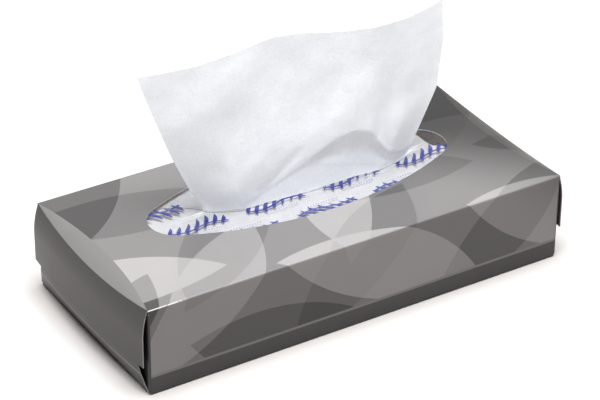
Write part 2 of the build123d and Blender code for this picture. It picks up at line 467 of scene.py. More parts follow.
@dataclass(frozen=True)
class BoxSizes:
    """The carton's sizes: outside lengths, board, and what shapes its two ends."""

    length: float = 236.0
    width: float = 112.0
    height: float = 47.5
    board: float = 0.5
    fold: float = 0.9
    crease_depth: float = 7.1
    facet_slope: float = 22.0
    flap_stand: float = 2.9
    flap_curve: float = 16.0
    flap_low_edge: float = 16.0
    bow_high: float = 1.2
    bow_low: float = 2.8
    bottom_flap_top: float = 26.0
    bottom_flap_taper: float = 5.0
    dust_flap: float = 45.0
    dust_flap_foot: float = 1.6
    dust_flap_head: float = 44.9
    dust_flap_taper: float = 0.16
    dust_flap_sunk: float = 0.75
    seam_tab: float = 12.0
    tab_inset: float = 0.525
    back_foot: float = 0.4
    dip: float = 0.35
    swell: float = 0.35
    uneven_swell: float = 0.12
    facet_belly: float = 0.35

    @property
    def half_length(self) -> float:
        """Half the length."""
        return self.length / 2

    @property
    def half_width(self) -> float:
        """Half the width."""
        return self.width / 2

    @property
    def flat_width(self) -> float:
        """Half the width of the top, up to where its folds start."""
        return self.half_width - self.fold


@dataclass(frozen=True)
class Oval:
    """The opening: two long arcs joined by two small round ends."""

    centre: Point = (4.0, 7.5)
    half_length: float = 85.5
    half_width: float = 30.7
    end_radius: float = 15.0

    @property
    def end_reach(self) -> float:
        """From the centre to the middle of a round end's circle."""
        return self.half_length - self.end_radius

    @property
    def side_radius(self) -> float:
        """Radius of the two long arcs, which meet the round ends without a corner."""
        over = self.end_reach ** 2 + self.half_width ** 2 - self.end_radius ** 2
        return over / (2 * (self.half_width - self.end_radius))

    @property
    def joint_angle(self) -> float:
        """Angle from X to the normal where a round end meets a long arc, in radians."""
        return atan2(self.side_radius - self.half_width, self.end_reach)

    def rim(self, angles: np.ndarray) -> np.ndarray:
        """Points of the rim whose outward normals stand at the given angles.

        A point is a circle's centre plus its radius times (cos a, sin a): the round end's
        circle up to the joint angle, and the long arc's circle past it.

        Args:
            angles: in radians, from -pi to pi.

        Returns:
            The points, one row for each angle.
        """
        turned = np.abs(angles)
        folded = np.minimum(turned, pi - turned)
        on_end = folded <= self.joint_angle + 1e-9
        radius = np.where(on_end, self.end_radius, self.side_radius)
        sideways = np.where(turned < pi / 2, 1.0, -1.0) * self.end_reach
        centre_x = np.where(on_end, sideways, 0.0)
        centre_y = np.where(on_end, 0.0, -np.sign(angles) * (self.side_radius - self.half_width))
        x = self.centre[0] + centre_x + radius * np.cos(angles)
        y = self.centre[1] + centre_y + radius * np.sin(angles)
        return np.stack([x, y], axis=-1)


@dataclass(frozen=True)
class Print:
    """The outside of the board: warm grey ink with overlapping petals, semi-gloss varnish,
    a dark band round the foot and a thin light stripe over it.

    Heights are from the middle of the top panel, out over the folds and down the sides.
    """

    ink: float = 0.113
    end_ink: float = 0.021
    lightest: float = 0.207
    darkest: float = 0.033
    flap_start: Span = (590.0, 592.0)
    band: float = 0.042
    band_edge: float = -94.0
    stripe: float = 0.140
    stripe_edge: float = -92.6
    line_softness: float = 0.15
    tint: Colour = (1.01, 0.977, 0.962)
    # Painted shadow of the standing tissue: how much it darkens the back right corner of the top,
    # and where it lies.
    painted_shadow_depth: float = 0.80
    painted_shadow_lean: float = 0.9
    painted_shadow_corner: Span = (22.0, 118.0)
    painted_shadow_end: Span = (400.0, 200.0)
    painted_shadow_back: Span = (62.0, 50.0)
    rubbed_board: Colour = (0.62, 0.61, 0.60)
    rubbed_fold: float = 56.0
    rubbed_width: Span = (0.50, 0.1)
    rubbed_end: Span = (80.0, 116.0)
    mottle: Grain = Grain(0.05, 3.0)
    speckle: Grain = Grain(2.2, 2.0)
    rub: Grain = Grain(0.35, 4.0, 0.7)
    nick: Grain = Grain(1.6, 3.0, 0.7)
    fibre: Grain = Grain(0.9, 4.0, 0.65)
    relief: float = 0.018
    petals: tuple[Petal, ...] = (
        Petal((-46.0, -51.5), (71.0, -98.0), 22.3, 17.7, 0.105),
        Petal((61.5, -54.6), (164.0, -101.6), 23.6, 15.1, 0.088),
        Petal((-7.0, -67.0), (37.7, 40.0), 23.2, 12.6, 0.082),
        Petal((-125.9, -99.4), (-36.3, -9.6), 18.8, 21.3, 0.062),
        Petal((-185.4, -31.7), (-66.5, -40.3), 28.6, 12.4, 0.096),
        Petal((-39.4, -105.5), (45.9, -20.4), 20.9, 17.9, -0.030),
        Petal((44.1, -103.0), (121.3, -37.1), 13.1, 23.5, -0.050),
        Petal((-43.1, 27.4), (89.2, -20.9), 21.3, 26.0, -0.032),
        Petal((-99.0, -63.3), (-12.1, 20.9), 20.3, 17.6, -0.028),
        Petal((-138.5, -87.4), (-102.8, -28.0), 15.9, 6.7, -0.080),
        Petal((-147.6, 35.2), (-26.7, 17.0), 16.3, 19.7, -0.034),
        Petal((-96.0, -82.8), (17.0, -110.0), 17.3, 22.0, -0.058),
        Petal((97.8, -7.3), (162.6, -6.4), 3.5, 19.4, -0.048),
        Petal((39.6, -16.9), (114.5, 19.0), 19.8, 8.3, 0.048),
        Petal((-150.0, 98.0), (-58.0, 62.0), 16.0, 14.0, 0.095),
        Petal((-80.0, 110.0), (14.0, 60.0), 16.0, 17.0, -0.045),
        Petal((-24.0, 100.0), (80.0, 62.0), 20.0, 15.0, 0.095),
        Petal((70.0, 62.0), (136.0, 106.0), 18.0, 14.0, 0.075),
    )
    left_disc: Disc = Disc((-168.0, 103.5), 107.3, -0.055)
    right_disc: Disc = Disc((33.9, 91.2), 108.2, -0.066)
    right_limit: Disc = Disc((148.0, 34.0), 112.0)

    def tone(self, bench: Bench, place: bpy.types.NodeSocket, across: Number, up: Number,
             ) -> Number:
        """The ink's lightness: the ground's plus that of each petal and disc over a point.

        It is darker on the outer flaps, and the back right corner of the top is darkened by a
        painted shadow of the standing tissue.

        Args:
            bench: the print's node tree.
            place: the place on the flat blank.
            across: how far along the box that is.
            up: how far to the back.

        Returns:
            The lightness.
        """
        parts = [petal.mask(bench, place) * petal.shade for petal in self.petals]
        parts.append(self.left_disc.mask(bench, place) * self.left_disc.shade)
        right = self.right_disc.mask(bench, place) * self.right_limit.mask(bench, place)
        parts.append(right * self.right_disc.shade)
        parts.append(abs(across).step(*self.flap_start) * (self.end_ink - self.ink))
        tone = sum(parts, self.ink).least(self.lightest).most(self.darkest)
        # Painted shadow: the back right corner of the top darkens where the standing tissue shades
        # it.
        corner = (across + up * self.painted_shadow_lean).step(*self.painted_shadow_corner)
        shaded = corner * across.step(*self.painted_shadow_end) * up.step(*self.painted_shadow_back)
        return tone * (1 - shaded * self.painted_shadow_depth)

    def rubbed(self, bench: Bench, place: bpy.types.NodeSocket, across: Number, down: Number,
               ) -> Number:
        """Where the ink is rubbed off along the long folds, more often towards the left end.

        Args:
            bench: the print's node tree.
            place: the place on the flat blank.
            across: how far along the box that is.
            down: its height.

        Returns:
            1 where the board is bare and 0 where the ink is whole.
        """
        uneven = bench.noise(place, self.rub) * 0.5 + bench.noise(place, self.nick) * 0.5
        often = (0 - across).step(*self.rubbed_end) * 0.13 + 0.46
        near = abs(down + self.rubbed_fold).step(*self.rubbed_width)
        return near * (uneven - 1 + often * 2).step(0.52, 0.66)

    def finish(self) -> bpy.types.Material:
        """The material, on the carton's flat blank."""
        bench = Bench("printed_board")
        place = bench.flat_place()
        across, up, _ = bench.parts(place)
        down = 0 - abs(up)
        tone = self.tone(bench, place, across, up)
        for edge, ink in ((self.stripe_edge, self.stripe), (self.band_edge, self.band)):
            line = down.under(edge, self.line_softness)
            tone = tone * (1 - line) + line * ink
        mottle = bench.noise(place, self.mottle)
        speckle = bench.noise(place, self.speckle)
        ink = bench.grey(tone * (0.955 + mottle * 0.06 + speckle * 0.03), self.tint)
        rubbed = self.rubbed(bench, place, across, down)
        fibre = bench.noise(place, self.fibre)
        return bench.surface(bench.principled({
            "Base Color": bench.mix(rubbed * 0.8, ink, rgba(self.rubbed_board)),
            "Roughness": 0.29 + mottle * 0.08 + rubbed * 0.3,
            "Normal": bench.bump(fibre * 0.7 + speckle * 0.3, self.relief),
            "IOR": 1.5, "Specular IOR Level": 0.32,
        }))


@dataclass(frozen=True)
class RawBoard:
    """Board without ink: its grey recycled inner side, or its paler cut edge.

    Args:
        name: the finish's name.
        colour: the board's colour.
        fleck: the colour of the flecks in it.
        gap_shade_colour: its colour at the two ends, as painted shade of the gaps round the flaps.
    """

    name: str
    colour: Colour
    fleck: Colour
    gap_shade_colour: Colour
    gap_shade_start: Span = (0.110, 0.114)
    flecks: Grain = Grain(900.0, 3.0, 0.7)
    fibre: Grain = Grain(1.0, 3.0, 0.6, (400.0, 1400.0, 1400.0))
    relief: float = 0.05

    def finish(self) -> bpy.types.Material:
        """The material, with flecks and fibres in it."""
        bench = Bench(self.name)
        place = bench.add("ShaderNodeTexCoord").outputs["Object"]
        flecks = bench.noise(place, self.flecks).step(0.56, 0.68)
        fibre = bench.noise(place, self.fibre)
        # Painted shade: the board is darker at the two ends, where it shows only in the shaded gaps
        # round the flaps.
        in_gap_shade = abs(bench.parts(place)[0]).step(*self.gap_shade_start)
        ground = bench.mix(in_gap_shade, rgba(self.colour), rgba(self.gap_shade_colour))
        return bench.surface(bench.principled({
            "Base Color": bench.mix(flecks * 0.5, ground, rgba(self.fleck)),
            "Roughness": 0.8 + fibre * 0.15, "Normal": bench.bump(fibre, self.relief),
        }))


@dataclass(frozen=True)
class Film:
    """Thin clear film, a little milky, printed with rows of small blue leaves and grey ticks.

    Each row has its height, the middle of one of its groups, and 1 or -1 for its way up.
    """

    milk: Colour = (0.110, 0.100, 0.094)
    blue: Colour = (0.010, 0.015, 0.120)
    tick: Colour = (0.12, 0.13, 0.22)
    pitch: float = 44.0
    group: float = 33.0
    leaf_pitch: float = 5.0
    leaf_length: float = 10.5
    leaf_width: float = 1.45
    leaf_lean: float = 0.5
    stem_line: float = 1.8
    tick_line: float = 6.6
    tick_pitch: float = 1.5
    tick_reach: Span = (9.3, 9.2)
    patches: Grain = Grain(0.12, 3.0)
    wrinkles: Grain = Grain(1.0, 3.0, 0.55, (0.10, 0.30, 1.0))
    relief: float = 0.9
    rows: tuple[tuple[float, float, float], ...] = (
        (-1.2, -60.5, 1.0), (-20.2, 3.0, -1.0), (17.5, -75.0, -1.0), (36.0, -50.0, 1.0),
    )

    def row(self, across: Number, up: Number, height: float, middle: float, way: float,
            ) -> tuple[Number, Number]:
        """One row of leaf groups, with a line of ticks beside each group.

        A leaf's half width is its full one times 1 - (2 v / length)^2, v being the height in it.

        Args:
            across: millimetres along the row.
            up: millimetres across it.
            height: the row's height.
            middle: the middle of one of its groups.
            way: 1, or -1 where the row stands on its head.

        Returns:
            Masks of the leaves and of the ticks.
        """
        v = (up - height) * way
        u = (across - middle).wrap(self.pitch)
        inside = abs(u).under(self.group / 2, 0.1)
        leaning = (u - v * self.leaf_lean - (v * 0.55).wave() * 0.5).wrap(self.leaf_pitch)
        swing = v - (u * 0.21).wave() * 1.6
        taper = 1 - swing * swing * (4.0 / self.leaf_length ** 2)
        leaf = (taper * self.leaf_width - abs(leaning)).step(0.0, 0.25)
        stem = abs(swing + self.stem_line).step(0.75, 0.5)
        line = abs(v + self.tick_line).step(0.6, 0.45) * abs(u - 1.0).step(*self.tick_reach)
        return leaf.most(stem) * inside, line * abs(u.wrap(self.tick_pitch)).step(0.5, 0.35)

    def finish(self) -> bpy.types.Material:
        """The material: a see-through mix whose factor is how much the film and its ink hide."""
        bench = Bench("film")
        place = bench.flat_place()
        across, up, _ = bench.parts(place)
        masks = [self.row(across, up, *row) for row in self.rows]
        leaves, ticks = (reduce(Number.most, kind) for kind in zip(*masks))
        patchy = bench.noise(place, self.patches)
        ground = bench.mix(ticks, rgba(self.milk), rgba(self.tick))
        return bench.surface(bench.principled({
            "Base Color": bench.mix(leaves, ground, rgba(self.blue)),
            "Roughness": 0.18 + patchy * 0.12,
            "Alpha": (leaves * 0.93).most(ticks * 0.75).most(patchy * 0.10 + 0.36),
            "Normal": bench.bump(bench.noise(place, self.wrinkles), self.relief),
            "IOR": 1.45, "Specular IOR Level": 0.35,
        }))


@dataclass(frozen=True)
class TissuePaper:
    """Soft white tissue: short fibres, a faint crepe across the sheet, a little light through it.

    Args:
        name: the finish's name.
        colour: its colour.
        through: the share of the light that comes through it.
    """

    name: str
    colour: Colour
    through: float
    cloud: Grain = Grain(0.07, 4.0, 0.6)
    felt: Grain = Grain(0.42, 4.0, 0.7)
    fibre: Grain = Grain(1.0, 5.0, 0.75, (0.9, 1.5, 1.0))
    crepe: Grain = Grain(1.0, 2.0, 0.5, (0.25, 2.4, 1.0))
    relief: float = 0.45

    def finish(self) -> bpy.types.Material:
        """The material, on the sheet's own flat map."""
        bench = Bench(self.name)
        place = bench.flat_place()
        grains = (self.cloud, self.felt, self.fibre, self.crepe)
        cloud, felt, fibre, crepe = (bench.noise(place, grain) for grain in grains)
        colour = bench.grey(0.80 + cloud * 0.16 + felt * 0.14 + fibre * 0.06, self.colour)
        relief = bench.bump(fibre * 0.35 + crepe * 0.25 + felt * 0.4, self.relief)
        shader = bench.principled({
            "Base Color": colour, "Roughness": 0.86 + fibre * 0.1, "Normal": relief,
            "Specular IOR Level": 0.15, "Sheen Weight": 0.12, "Sheen Roughness": 0.5,
        })
        if not self.through:
            return bench.surface(shader)
        glow = bench.add("ShaderNodeBsdfTranslucent", {}, {"Color": colour, "Normal": relief})
        values = {0: self.through, 1: shader.outputs[0], 2: glow.outputs[0]}
        return bench.surface(bench.add("ShaderNodeMixShader", {}, values))


def top_dip(sizes: BoxSizes, x: np.ndarray, y: np.ndarray) -> np.ndarray:
    """How far the top panel dips: dip (1 - (x / half length)^2) (1 - (y / half width)^2)."""
    return sizes.dip * dome(x, sizes.half_length) * dome(y, sizes.half_width)


@dataclass
class Carton:
    """The carton: one die-cut sheet of printed board with its folds, flaps and oval opening.

    The left facet and the flaps each have a place of their own on the flat map, some way out
    past the ends, so that the petals of the top don't run on over them; the right facet carries
    on the top's print.
    """

    sizes: BoxSizes = BoxSizes()
    oval: Oval = Oval()
    print: Print = Print()
    # The last colour of each board is painted shade for the gaps round the flaps at the two ends.
    inside: RawBoard = RawBoard("board_inside", (0.25, 0.23, 0.205), (0.19, 0.18, 0.165),
                                (0.085, 0.076, 0.072))
    edge: RawBoard = RawBoard("board_edge", (0.74, 0.70, 0.62), (0.50, 0.46, 0.40),
                              (0.24, 0.235, 0.23))
    columns: int = 97
    end_columns: int = 45
    left_facet_apart: float = 180.0
    flap_apart: float = 480.0
    bottom_flap_apart: float = 700.0
    dust_flap_apart: float = 900.0
    drawn_in: Span = (1.2, 2.4)
    fold_points: int = 9

    def crease(self, y: np.ndarray) -> np.ndarray:
        """How far the top's end crease comes in: a circle's arc through the two corners."""
        half = self.sizes.flat_width
        depth = self.sizes.crease_depth
        radius = (half * half + depth * depth) / (2 * depth)
        return np.sqrt(radius * radius - y * y) - (radius - depth)

    def flap_offset(self, y: np.ndarray, drop: np.ndarray) -> np.ndarray:
        """How far the outer flap stands out past the end of the box.

        An arc that is upright at its foot, out to flap_stand, plus a bow across the flap,
        (1 - (y / w)^2) times an amount that grows down the flap.

        Args:
            y: places across the flap.
            drop: depths under the top.

        Returns:
            The offsets.
        """
        sizes = self.sizes
        radius = (sizes.flap_curve ** 2 + sizes.flap_stand ** 2) / (2 * sizes.flap_stand)
        left = np.clip(sizes.flap_curve - drop, 0.0, None)
        arc = sizes.flap_stand - (radius - np.sqrt(radius * radius - left * left))
        share = np.clip(drop / (sizes.height - sizes.flap_low_edge), 0.0, 1.0)
        bow = sizes.bow_high + (sizes.bow_low - sizes.bow_high) * share
        return arc + bow * dome(y, sizes.flat_width)

    def facet_drop(self, y: np.ndarray) -> np.ndarray:
        """Depth under the top where the sloping facet meets the outer flap.

        The depth is the facet's reach times the slope's tangent, and the reach depends on the
        depth, so it is worked out again until it settles.

        Args:
            y: places across the end, from one corner to the other.

        Returns:
            The depths, which are 0 at the corners.
        """
        slope = np.tan(radians(self.sizes.facet_slope))
        drop = np.zeros_like(y)
        for _ in range(12):
            drop = (self.crease(y) + self.flap_offset(y, drop)) * slope
        drop -= drop[0] + (drop[-1] - drop[0]) * np.linspace(0.0, 1.0, len(y))
        return drop

    def warp(self, points: np.ndarray) -> np.ndarray:
        """Bow the panels a little: the top dips and the long sides swell at their middles.

        The swell is (1 - (x / half length)^2) times 4 z (height - z) / height^2.

        Args:
            points: points of the folded carton.

        Returns:
            The points moved.
        """
        sizes = self.sizes
        x, y, z = (points[..., axis] for axis in range(3))
        along = dome(x, sizes.half_length)
        high = np.clip(4.0 * z * (sizes.height - z) / sizes.height ** 2, 0.0, 1.0)
        on_top = smooth(z, sizes.height - 1.0, sizes.height)
        outward = np.sign(y) * smooth(np.abs(y), sizes.half_width - 1.5, sizes.half_width)
        swell = sizes.swell * along + sizes.uneven_swell * ripple(x, z, 5, 130.0) * along
        return grid(x, y + outward * high * swell, z - top_dip(sizes, x, y) * on_top)

    def top_patches(self) -> list[Patch]:
        """The top panel: four grids from the opening's rim out to the folds and creases.

        A point is rim + t (border - rim), with t from 0 at the rim to 1 at the border.

        Returns:
            The front, right, back and left grids.
        """
        half = self.sizes.flat_width
        joint = self.oval.joint_angle
        x = np.linspace(-self.sizes.half_length, self.sizes.half_length, self.columns)
        y = np.linspace(-half, half, self.end_columns)
        end_x = self.sizes.half_length - self.crease(y)
        front = np.stack([x, np.full_like(x, -half)], axis=-1)
        right = np.stack([end_x, y], axis=-1)
        long_angles = np.linspace(-(pi - joint), -joint, self.columns)
        end_angles = np.linspace(-joint, joint, self.end_columns)
        turned = pi + end_angles
        turned = np.where(turned > pi, turned - 2 * pi, turned)
        borders = (
            (front, long_angles),
            (right, end_angles),
            (front * (1, -1), -long_angles),
            (right * (-1, -1), turned),
        )
        t = (np.linspace(0.0, 1.0, 18) ** 1.15)[:, None, None]
        patches = []
        for border, angles in borders:
            rim = self.oval.rim(angles)
            flat = rim + t * (border - rim)
            points = grid(flat[..., 0], flat[..., 1], self.sizes.height)
            patches.append(Patch(points, flat))
        return patches

    def side_profile(self, side: int) -> tuple[np.ndarray, np.ndarray, np.ndarray]:
        """The board's path down one long side, from the top panel's fold to the foot.

        Args:
            side: -1 for the front, 1 for the back.

        Returns:
            y, z, and the place across the flat blank.
        """
        sizes = self.sizes
        out, down = quarter_turn(sizes.fold, self.fold_points)
        low = sizes.fold if side < 0 else sizes.back_foot
        wall_z = np.linspace(sizes.height - sizes.fold, low, 20)[1:]
        wall_y = np.full_like(wall_z, sizes.half_width)
        y = np.concatenate([sizes.flat_width + out, wall_y])
        z = np.concatenate([sizes.height - down, wall_z])
        return side * y, z, side * (y + sizes.height - z)

    def sleeve_patches(self) -> list[Patch]:
        """The long panels round the box, with the seam tab folded up inside the back one.

        Returns:
            The grid of front, bottom and tab, and the grid of the back.
        """
        sizes = self.sizes
        front_y, front_z, front_v = self.side_profile(-1)
        ahead, aside = (part[1:] for part in quarter_turn(sizes.fold, self.fold_points))
        foot_y = aside - sizes.half_width
        foot_z = sizes.fold - ahead
        tab_y = sizes.half_width - sizes.tab_inset
        floor_y = np.linspace(-sizes.flat_width, tab_y - sizes.fold, 31)[1:]
        curl_y = tab_y - sizes.fold + ahead
        rise_z = np.linspace(sizes.fold, sizes.seam_tab, 6)[1:]
        y = np.concatenate([front_y, foot_y, floor_y, curl_y, np.full_like(rise_z, tab_y)])
        z = np.concatenate([front_z, foot_z, np.zeros_like(floor_y), aside, rise_z])
        under = np.cumsum(np.hypot(np.diff(y), np.diff(z)))
        v = np.concatenate([front_v, -(sizes.flat_width + under[len(front_y) - 1:])])
        back_y, back_z, back_v = self.side_profile(1)
        return [self.carried(y, z, v), self.carried(back_y, back_z, back_v)]

    def carried(self, y: np.ndarray, z: np.ndarray, v: np.ndarray) -> Patch:
        """A profile carried along the box, its ends drawn in a little where the flaps fold.

        Args:
            y: the profile's places from front to back.
            z: its heights.
            v: its places across the flat blank.

        Returns:
            The grid.
        """
        sizes = self.sizes
        drawn = smooth(sizes.height - z, *self.drawn_in)
        end = sizes.half_length - sizes.fold * drawn
        x = end[:, None] * np.linspace(-1.0, 1.0, self.columns)
        return Patch(grid(x, y[:, None], z[:, None]), grid(x, v[:, None]))

    def end_patches(self, end: int) -> list[Patch]:
        """The facet and the outer flap of one end.

        The facet runs from the top's crease to the flap with a slight belly, and the flap's
        points are (length / 2 + offset(y, drop), y, height - drop).

        Args:
            end: -1 for the left, 1 for the right.

        Returns:
            The two grids.
        """
        sizes = self.sizes
        y = np.linspace(-sizes.flat_width, sizes.flat_width, self.end_columns)
        drop = self.facet_drop(y)
        t = np.linspace(0.0, 1.0, 7)[:, None]
        inner_x = sizes.half_length - self.crease(y)
        outer_x = sizes.half_length + self.flap_offset(y, drop)
        belly = sizes.facet_belly * np.sin(pi * t) * (drop / drop.max())
        facet_x = inner_x + t * (outer_x - inner_x)
        facet_z = sizes.height - t * drop + belly
        low = sizes.height - sizes.flap_low_edge
        depth = drop + np.linspace(0.0, 1.0, 26)[:, None] * (low - drop)
        flap_x = sizes.half_length + self.flap_offset(np.broadcast_to(y, depth.shape), depth)
        facet_apart = self.left_facet_apart if end < 0 else 0.0
        grids = ((facet_x, facet_z, facet_apart), (flap_x, sizes.height - depth, self.flap_apart))
        return [Patch(grid(end * x, y, z), grid(end * (x + apart), y)) for x, z, apart in grids]

    def bottom_flap(self, end: int) -> Patch:
        """The flap that stands up from the bottom, leaning out to lie behind the outer flap.

        It follows the outer flap's inner side, leaning out by sin(pi s / 2) of its offset, with s
        the share of the way up to the outer flap's low edge, and its sides taper.

        Args:
            end: -1 for the left, 1 for the right.

        Returns:
            The grid.
        """
        sizes = self.sizes
        out, up = quarter_turn(sizes.fold, 7)
        rise = np.linspace(sizes.fold, sizes.bottom_flap_top, 16)[1:]
        z = np.concatenate([up, rise])[:, None]
        bend = np.concatenate([out, np.full_like(rise, sizes.fold)])[:, None]
        share = np.linspace(-1.0, 1.0, 31)[None, :]
        share_up = np.clip(z / sizes.flap_low_edge, 0.0, 1.4)
        taper = smooth(z, 0.0, sizes.fold) + sizes.bottom_flap_taper * share_up
        y = share * (sizes.flat_width - taper)
        out = self.flap_offset(y, sizes.height - z) - sizes.board - 0.05
        lean = np.sin(0.5 * pi * np.clip((z - 0.5) / sizes.flap_low_edge, 0.0, 1.0))
        x = sizes.half_length - sizes.fold + bend + lean * out
        return Patch(grid(end * x, y, z), grid(end * (self.bottom_flap_apart + y), z - 103.5))

    def dust_flap(self, end: int, side: int) -> Patch:
        """A dust flap: from a long panel's end, round a fold, and in behind the outer flap.

        Args:
            end: -1 for the left, 1 for the right.
            side: -1 for the front, 1 for the back.

        Returns:
            The grid, which narrows a little towards the flap's free edge.
        """
        sizes = self.sizes
        out, inward = quarter_turn(sizes.fold, 8)
        reach = np.linspace(0.0, sizes.dust_flap, 18)[1:]
        x = sizes.half_length - sizes.fold + out
        y = sizes.half_width - inward
        sunk = sizes.dust_flap_sunk * smooth(reach, 0.0, 6.0)
        x = np.concatenate([x, sizes.half_length - sunk])
        y = np.concatenate([y, sizes.flat_width - reach])
        gone = np.concatenate([np.zeros_like(out), reach])
        middle = sizes.height / 2
        z = np.linspace(sizes.dust_flap_foot, sizes.dust_flap_head, 16)[:, None]
        z = middle + (z - middle) * (1 - sizes.dust_flap_taper * gone / sizes.dust_flap)
        flat = grid(end * (self.dust_flap_apart + y), z - 47.0)
        return Patch(grid(end * x, side * y, z), flat)

    def build(self) -> bpy.types.Object:
        """Fold the whole blank and dress its outside, inside and cut edges."""
        body = self.top_patches() + self.sleeve_patches()
        for end in (-1, 1):
            body += self.end_patches(end)
        body = [Patch(self.warp(patch.points), patch.flat) for patch in body]
        finishes = [self.print.finish(), self.inside.finish(), self.edge.finish()]
        piece = make_piece("carton_board", body, finishes, crease=15.0)
        thicken(piece, self.sizes.board)
        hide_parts("carton")
        for end, where in ((-1, "left"), (1, "right")):
            flaps = {
                f"bottom_flap_{where}": self.bottom_flap(end),
                f"dust_flap_{where}_front": self.dust_flap(end, -1),
                f"dust_flap_{where}_back": self.dust_flap(end, 1),
            }
            for name, patch in flaps.items():
                flap = make_piece(name, [patch], finishes, crease=40.0, winding=Winding.AWAY)
                thicken(flap, self.sizes.board)
                carry(flap)
        carry(piece)
        return piece


def carry(piece: bpy.types.Object) -> None:
    """Let a piece ride on the box, and log how many faces it has."""
    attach(piece, "root")
    LOG.info("%s: %d faces", piece.name, len(piece.data.polygons))


@dataclass(frozen=True)
class Curve:
    """A soft curve through a few chosen points, as a draughtsman's spline.

    Args:
        at: where the points are.
        heights: the curve's heights there.
        blur: how far each corner is rounded, each way.
    """

    at: tuple[float, ...]
    heights: tuple[float, ...]
    blur: float

    def __call__(self, x: np.ndarray) -> np.ndarray:
        """Heights at x: straight runs between the points, averaged over blur each way."""
        offsets = np.linspace(-1.0, 1.0, 15)
        weights = np.cos(offsets * pi / 2.2) ** 2
        weights /= weights.sum()
        parts = [w * np.interp(x + self.blur * o, self.at, self.heights)
                 for o, w in zip(offsets, weights)]
        return np.sum(parts, axis=0)


@dataclass
class FilmWindow:
    """The film glued under the top panel: it sags in the oval and parts at the slit."""

    sizes: BoxSizes = BoxSizes()
    oval: Oval = Oval()
    finish: Film = Film()
    lap: float = 9.0
    sag: float = 0.95
    lift: float = 0.7
    glue: float = 0.08
    front_lip: Curve = Curve(
        (-69.5, -55.0, -49.0, -45.6, -39.7, -30.0, -15.0, 0.0, 22.0, 47.0, 57.0, 65.0, 77.5),
        (8.0, 7.6, 6.6, 5.3, 2.9, -0.1, -1.1, -1.4, -2.2, -2.7, -0.6, 3.2, 8.0), 3.0)
    back_lip: Curve = Curve((-69.5, -57.0, -46.0, 0.0, 50.0, 66.0, 77.5),
                            (8.0, 8.2, 11.5, 13.5, 12.5, 8.4, 8.0), 4.0)

    def height(self, x: np.ndarray, y: np.ndarray) -> np.ndarray:
        """The film's height: roof - inside (sag + crinkle) + inside lift.

        The roof is just under the top panel, inside is 1 within the opening, and the lift is
        where the tissue pushes the slit's lips up.

        Args:
            x: places along the film.
            y: places across it.

        Returns:
            The heights.
        """
        rho = np.hypot((x - self.oval.centre[0]) / self.oval.half_length,
                       (y - self.oval.centre[1]) / self.oval.half_width)
        inside = smooth(1.0 - rho, -0.02, 0.35)
        crinkle = 0.28 * ripple(x, 2.2 * y, 21, 34.0) + 0.10 * ripple(x, 1.5 * y, 22, 11.0)
        near = np.minimum(np.abs(y - self.front_lip(x)), np.abs(y - self.back_lip(x)))
        spread = smooth(self.back_lip(x) - self.front_lip(x), 1.0, 10.0)
        lift = self.lift * np.exp(-near / 2.5) * spread
        roof = self.sizes.height - self.sizes.board - self.glue - top_dip(self.sizes, x, y)
        return roof - inside * (self.sag + crinkle) + lift * inside

    def build(self) -> bpy.types.Object:
        """Two grids, each from an outer edge of the film to one lip of the slit.

        Returns:
            The piece.
        """
        centre_x, centre_y = self.oval.centre
        reach_x = self.oval.half_length + self.lap
        reach_y = self.oval.half_width + self.lap
        x = np.linspace(centre_x - reach_x, centre_x + reach_x, 190)
        t = np.linspace(0.0, 1.0, 44)[:, None]
        patches = []
        for side, lip in ((-1, self.front_lip(x)), (1, self.back_lip(x))):
            y = centre_y + side * reach_y + t * (lip - centre_y - side * reach_y)
            patches.append(Patch(grid(x, y, self.height(x, y)), grid(x, y)))
        piece = make_piece("film_sheet", patches, [self.finish.finish()])
        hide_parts("film_window")
        carry(piece)
        return piece


